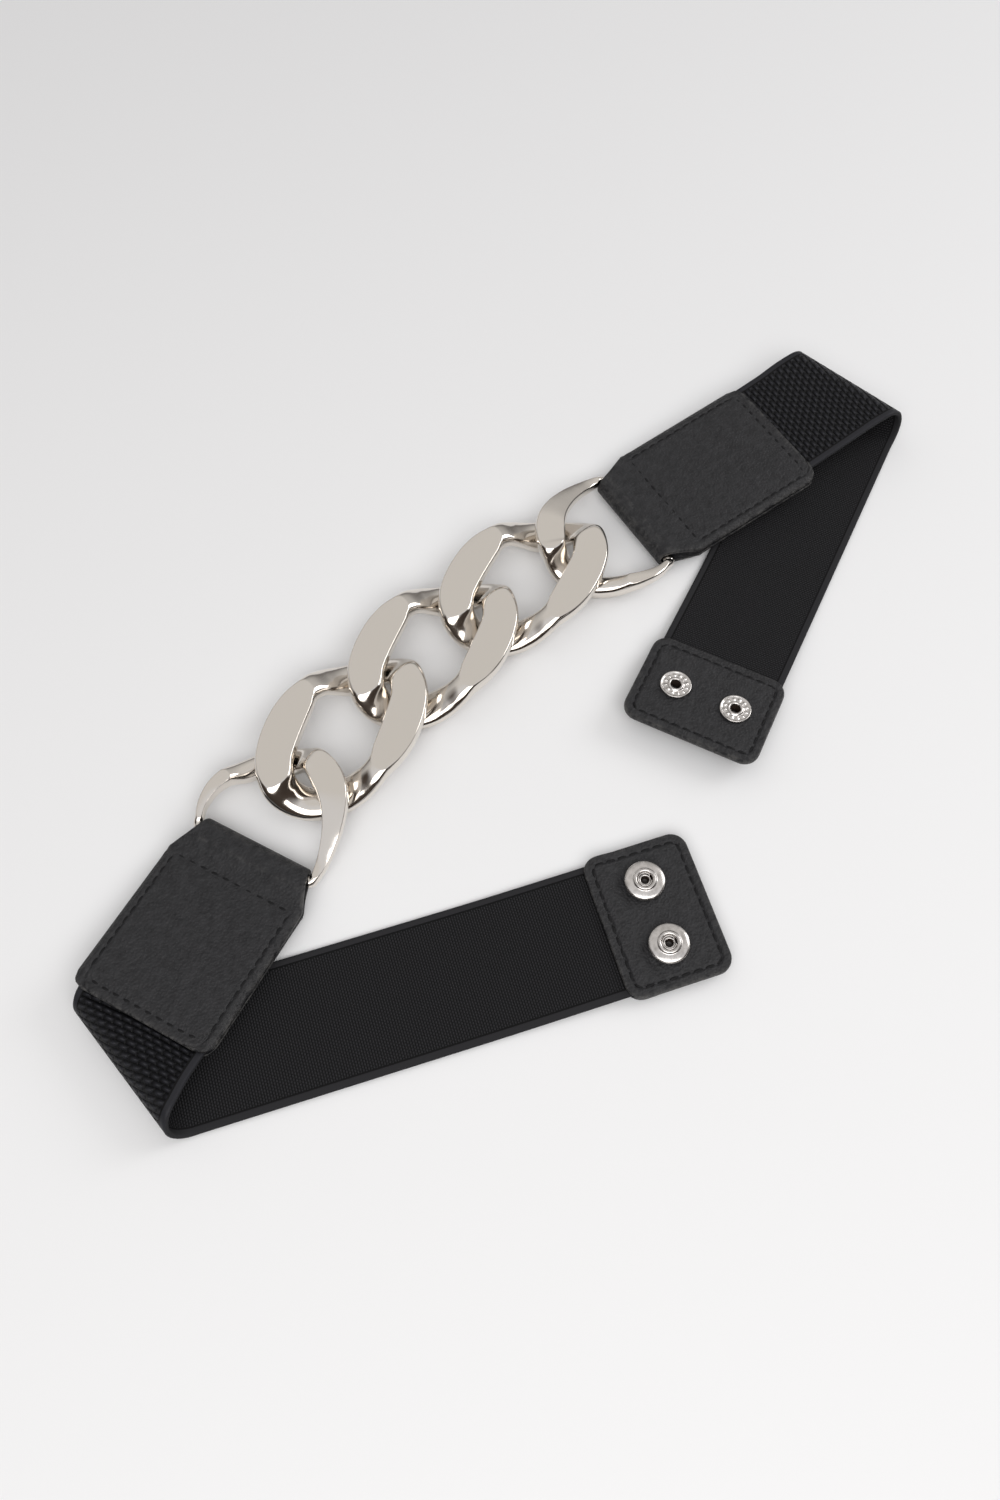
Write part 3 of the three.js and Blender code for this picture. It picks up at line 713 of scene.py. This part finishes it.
def webbing(name, group, hollow_shade_colour, raised_colour, depth, roughness):
    material, tree, shader = new_material(name)
    along = tree.nodes.new("ShaderNodeAttribute")
    along.attribute_name = "along"
    across = tree.nodes.new("ShaderNodeAttribute")
    across.attribute_name = "across"
    weave = tree.nodes.new("ShaderNodeGroup")
    weave.node_tree = group
    tree.links.new(along.outputs["Fac"], weave.inputs["Along"])
    tree.links.new(across.outputs["Fac"], weave.inputs["Across"])
    # The colour follows the weave's height: painted shade darkens the hollows between the cells and rows,
    # and the raised cells and the plain edge keep the lighter colour.
    height_shading = tree.nodes.new("ShaderNodeValToRGB")
    height_shading.color_ramp.elements[0].color = hollow_shade_colour
    height_shading.color_ramp.elements[1].color = raised_colour
    tree.links.new(weave.outputs["Height"], height_shading.inputs[0])
    tree.links.new(height_shading.outputs[0], shader.inputs["Base Color"])
    relief = tree.nodes.new("ShaderNodeBump")
    relief.inputs["Strength"].default_value = 0.8
    relief.inputs["Distance"].default_value = depth
    tree.links.new(weave.outputs["Height"], relief.inputs["Height"])
    tree.links.new(relief.outputs["Normal"], shader.inputs["Normal"])
    shader.inputs["Roughness"].default_value = roughness
    shader.inputs["Specular IOR Level"].default_value = 0.2
    return material


# The first colour of each weave is painted shade for its hollows, the second the colour of its raised
# threads.
knit = webbing("fine_knit_inside", weave_group("fine_knit", 0.75, 0.95, 0.3),
               (0.002, 0.002, 0.0024, 1), (0.027, 0.0268, 0.0296, 1), 0.00045, 0.8)
braid = webbing("raised_braid_outside", weave_group("bead_rows", 1.75, 3.0, 0.12),
                (0.0006, 0.0006, 0.0009, 1), (0.024, 0.0243, 0.0295, 1), 0.0019, 0.5)

STRAPS = (
    ("elastic_strap_left", 0, 0, -138.1, -2.9, 87.3, 17.3),
    ("elastic_strap_right", 1, 1, 175.3, 5.7, 92.6, 170.2),
)


# Bends a flat strap: it leaves its tab on the table, turns over at a slanting crease and runs
# back into its leather loop. Gives that map and where the strap begins and ends along itself.
def strap_map(row):
    _, tab_index, loop_index, fold_x, fold_y, crease_angle, back_to = row
    _, tab_x, tab_y, tab_z, _, tab_tilt = TABS[tab_index]
    _, loop_x, loop_y, to_fold, _ = LOOPS[loop_index]
    start = np.array((fold_x, fold_y))
    run = start - np.array((tab_x, tab_y))
    reach = np.linalg.norm(run)
    ahead = run / reach
    left = np.array((-ahead[1], ahead[0]))
    crease = np.array((math.cos(math.radians(crease_angle)), math.sin(math.radians(crease_angle))))
    out = np.array((crease[1], -crease[0]))
    if out @ ahead < 0:
        out = -out
    arc = math.pi * FOLD_RADIUS
    slide_middle = arc * (ahead @ crease) / (ahead @ out)
    hinge = start + crease * slide_middle
    heading = math.degrees(math.atan2(ahead[1], ahead[0]))
    give = math.radians((back_to - (2 * crease_angle - heading) + 180) % 360 - 180)
    axis = np.array((math.cos(math.radians(to_fold)), math.sin(math.radians(to_fold))))
    slope = math.tan(math.radians(tab_tilt))

    def loop_height(plan):
        from_bar = (plan - np.array((loop_x, loop_y))) @ axis
        return BAR_HEIGHT + from_bar * math.tan(math.radians(LOOP_SLOPE))

    def lower_height(from_tab):
        mouth = TAB_LENGTH / 2
        settle = 42
        if from_tab <= mouth:
            return tab_z - from_tab * slope
        u = min(1.0, (from_tab - mouth) / settle)
        hold = 2 * u ** 3 - 3 * u ** 2 + 1
        lean = u ** 3 - 2 * u ** 2 + u
        sloping = (tab_z - mouth * slope) * hold - slope * settle * lean
        return max(WEBBING_HALF_THICKNESS, sloping + WEBBING_HALF_THICKNESS * (1 - hold))

    def place(along, across, above):
        flat = ahead * along + left * across
        past = flat @ out
        slide = flat @ crease
        turn = min(max(past / arc, 0), 1) * math.pi
        radius = (loop_height(start + crease * slide) - WEBBING_HALF_THICKNESS) / 2
        reach_out = past if past < 0 else radius * math.sin(turn) - max(0, past - arc)
        u = min(max((past - arc) / 14, 0), 1)
        bend = give * u * u * (3 - 2 * u)
        plan = start + out * reach_out + crease * slide - hinge
        plan = hinge + np.array((plan[0] * math.cos(bend) - plan[1] * math.sin(bend),
                                 plan[0] * math.sin(bend) + plan[1] * math.cos(bend)))
        z = WEBBING_HALF_THICKNESS + radius * (1 - math.cos(turn))
        if past < 0:
            z = lower_height(reach + along)
        if past > arc:
            z = loop_height(plan)
        lean = above * math.sin(turn)
        x, y = from_plan(plan[0] - out[0] * lean, plan[1] - out[1] * lean)
        return x * MM, y * MM, (z + above * math.cos(turn)) * MM

    back = np.linalg.norm(start - np.array((loop_x, loop_y)))
    return place, -reach + 9, arc / (ahead @ out) + back - 13


def elastic_strap(row):
    place, first, last = strap_map(row)
    stations = np.concatenate([np.arange(first, -20, 2.0), np.arange(-20, last, 1.0), [last]])
    edge = WEBBING_WIDTH / 2
    across = np.concatenate([[-edge, 0.3 - edge], np.linspace(1 - edge, edge - 1, 39), [edge - 0.3, edge]])
    bm = bmesh.new()
    along_layer = bm.verts.layers.float.new("along")
    across_layer = bm.verts.layers.float.new("across")
    rings = []
    for along in stations:
        top = []
        under = []
        for v in across:
            half = WEBBING_HALF_THICKNESS if abs(v) < edge - 0.1 else 0.45
            top.append(place(along, v, half))
            under.append(place(along, v, -half))
        rings.append(top + under[::-1])
    round_trip = np.concatenate([across, across[::-1]])
    along_rings = [[along] * len(round_trip) for along in stations]
    across_rings = [round_trip] * len(stations)
    sheet = loft(bm, rings, around=False, layers=((along_layer, along_rings), (across_layer, across_rings)))
    seam = len(round_trip)
    outer = {vert for i, vert in enumerate(sheet) if len(across) <= i % (seam + 1) < seam}
    for face in bm.faces:
        face.material_index = 1 if all(vert in outer for vert in face.verts) else 0
    piece = finish_piece(f"woven_{row[0]}", bm, knit, [row[0]])
    piece.data.materials.append(braid)


for row in STRAPS:
    elastic_strap(row)

# The ring snaps: bright pressed metal, riveted through the leather. Sockets with a wire spring
# sit on one tab, and eyelets with their studs on the other.
snap, tree, shader = new_material("bright_snap")
shader.inputs["Metallic"].default_value = 1.0
place_on = tree.nodes.new("ShaderNodeTexCoord")
tarnish = tree.nodes.new("ShaderNodeTexNoise")
tarnish.inputs["Scale"].default_value = 500
tarnish.inputs["Detail"].default_value = 4
tree.links.new(place_on.outputs["Object"], tarnish.inputs["Vector"])
plate = tree.nodes.new("ShaderNodeValToRGB")
plate.color_ramp.elements[0].position = 0.3
plate.color_ramp.elements[0].color = (0.50, 0.48, 0.46, 1)
plate.color_ramp.elements[1].position = 0.6
plate.color_ramp.elements[1].color = (0.74, 0.71, 0.69, 1)
tree.links.new(tarnish.outputs["Fac"], plate.inputs[0])
tree.links.new(plate.outputs[0], shader.inputs["Base Color"])
gloss = tree.nodes.new("ShaderNodeMapRange")
gloss.inputs["To Min"].default_value = 0.18
gloss.inputs["To Max"].default_value = 0.32
tree.links.new(tarnish.outputs["Fac"], gloss.inputs["Value"])
tree.links.new(gloss.outputs["Result"], shader.inputs["Roughness"])

# Painted shade for the inside of the snaps' holes: a dark brown lining on the metal where it lies in shade
bore_shade, tree, shader = new_material("painted_shade_bore")
place_on = tree.nodes.new("ShaderNodeTexCoord")
bore_shade_mottle = tree.nodes.new("ShaderNodeTexNoise")
bore_shade_mottle.inputs["Scale"].default_value = 900
tree.links.new(place_on.outputs["Object"], bore_shade_mottle.inputs["Vector"])
brown = tree.nodes.new("ShaderNodeValToRGB")
brown.color_ramp.elements[0].color = (0.012, 0.008, 0.006, 1)
brown.color_ramp.elements[1].color = (0.05, 0.034, 0.026, 1)
tree.links.new(bore_shade_mottle.outputs["Fac"], brown.inputs[0])
tree.links.new(brown.outputs[0], shader.inputs["Base Color"])
shader.inputs["Roughness"].default_value = 0.45


# A piece spun about its own axis from (radius, height) points; bosses raises or widens each
# point by an amount that depends on the angle. closed joins the last point to the first.
def turned_piece(name, profile, place_it, closed, bosses, dark_radius=0.0):
    bm = bmesh.new()
    outline = [bm.verts.new((radius, 0, height)) for radius, height in profile]
    ahead = outline[1:] + outline[:1] if closed else outline[1:]
    edges = [bm.edges.new(pair) for pair in zip(outline, ahead)]
    bmesh.ops.spin(bm, geom=outline + edges, cent=(0, 0, 0), axis=(0, 0, 1), angle=2 * math.pi,
                   steps=192, use_merge=True)
    for vert in bm.verts:
        radius = math.hypot(vert.co.x, vert.co.y)
        angle = math.atan2(vert.co.y, vert.co.x)
        wider, higher = bosses(radius, vert.co.z, angle)
        vert.co.x += wider * math.cos(angle)
        vert.co.y += wider * math.sin(angle)
        vert.co.z += higher
    # Faces close to the axis, inside the hole, get the second material: painted shade.
    for face in bm.faces:
        middle = face.calc_center_median()
        face.material_index = 1 if math.hypot(middle.x, middle.y) < dark_radius else 0
    bm.transform(place_it)
    piece = finish_piece(f"pressed_{name}", bm, snap, [name])
    if dark_radius:
        piece.data.materials.append(bore_shade)


def plain(radius, height, angle):
    return 0.0, 0.0


def knurled(radius, height, angle):
    on_rim = 1.0 if radius > 5.75 and height < 3.4 else 0.0
    return -0.07 * on_rim * (0.5 + 0.5 * math.sin(48 * angle)), 0.0


def bossed(radius, height, angle):
    on_ring = math.exp(-((radius - 3.35) / 0.5) ** 2) if height > 2.05 else 0.0
    return 0.0, 0.38 * on_ring * (0.5 + 0.5 * math.cos(12 * angle)) ** 1.5


socket_profile = (
    (2.15, 1.75), (2.2, 1.7), (5.2, 1.7), (5.75, 1.75), (5.95, 1.95), (6.0, 2.5), (5.98, 3.1),
    (5.85, 3.45), (5.6, 3.68), (5.2, 3.86), (4.6, 4.02), (4.0, 4.12), (3.6, 4.15), (3.4, 4.25),
    (3.25, 4.5), (3.05, 4.66), (2.8, 4.7), (2.5, 4.64), (2.3, 4.45), (2.18, 4.1), (2.15, 3.4),
)
rivet_profile = (
    (0.02, -2.58), (2.5, -2.57), (4.2, -2.5), (5.2, -2.35), (5.65, -2.1), (5.8, -1.88),
    (5.7, -1.74), (5.5, -1.7), (1.82, -1.7), (1.8, -1.6), (1.8, 3.5), (1.75, 3.7), (1.6, 3.8),
    (1.38, 3.79), (1.2, 3.68), (1.15, 3.4), (1.15, 1.4), (1.1, 1.3), (0.02, 1.3),
)
eyelet_profile = (
    (0.02, -1.5), (1.5, -1.5), (1.56, -1.4), (1.56, 2.05), (1.62, 2.35), (1.8, 2.55), (2.05, 2.62),
    (2.3, 2.55), (2.48, 2.35), (2.6, 2.15), (2.8, 2.1), (3.1, 2.1), (3.35, 2.1), (3.6, 2.1),
    (3.9, 2.1), (4.15, 2.14), (4.35, 2.28), (4.55, 2.42), (4.75, 2.4), (4.87, 2.25), (4.9, 2.0),
    (4.85, 1.78), (4.7, 1.7), (1.84, 1.7), (1.8, 1.6), (1.8, -2.1), (1.7, -2.2), (0.02, -2.2),
)
stud_profile = (
    (0.02, -5.3), (0.9, -5.29), (1.5, -5.2), (1.85, -5.0), (2.0, -4.7), (1.97, -4.4), (1.85, -4.1),
    (1.76, -3.8), (1.76, -3.4), (1.9, -3.1), (2.3, -2.93), (3.0, -2.9), (4.5, -2.88), (5.0, -2.75),
    (5.2, -2.4), (5.15, -1.95), (5.0, -1.74), (4.8, -1.7), (2.25, -1.7), (2.2, -1.76), (2.2, -2.45),
    (2.1, -2.5), (0.02, -2.5),
)
for i, spot in enumerate(SNAP_SPOTS, start=1):
    on_socket_tab = tab_frame(TABS[0]) @ Matrix.Translation((0, spot, 0))
    on_stud_tab = tab_frame(TABS[1]) @ Matrix.Translation((0, spot, 0))
    # The last number is the radius inside which the hole gets painted shade.
    turned_piece(f"snap_socket_{i}", socket_profile, on_socket_tab, True, knurled, 2.17)
    turned_piece(f"snap_socket_rivet_{i}", rivet_profile, on_socket_tab, False, plain, 1.2)
    turned_piece(f"snap_stud_eyelet_{i}", eyelet_profile, on_stud_tab, False, bossed, 1.57)
    turned_piece(f"snap_stud_{i}", stud_profile, on_stud_tab, False, plain)

    # The spring: a wire ring just inside the socket's mouth, with its two ends turned inward
    wire = [(math.radians(a), 1.95) for a in range(-150, 151, 10)]
    wire = [(math.radians(-172), 1.2)] + wire + [(math.radians(172), 1.2)]
    bm = bmesh.new()
    rings = []
    for angle, radius in wire:
        centre = Vector((radius * math.cos(angle), radius * math.sin(angle), 4.12))
        out = Vector((math.cos(angle), math.sin(angle), 0))
        rings.append([centre + 0.19 * (out * math.cos(t) + Vector((0, 0, math.sin(t))))
                      for t in np.linspace(0, 2 * math.pi, 10, endpoint=False)])
    loft(bm, rings, around=False)
    bm.transform(on_socket_tab)
    finish_piece(f"socket_spring_{i}", bm, snap, [])
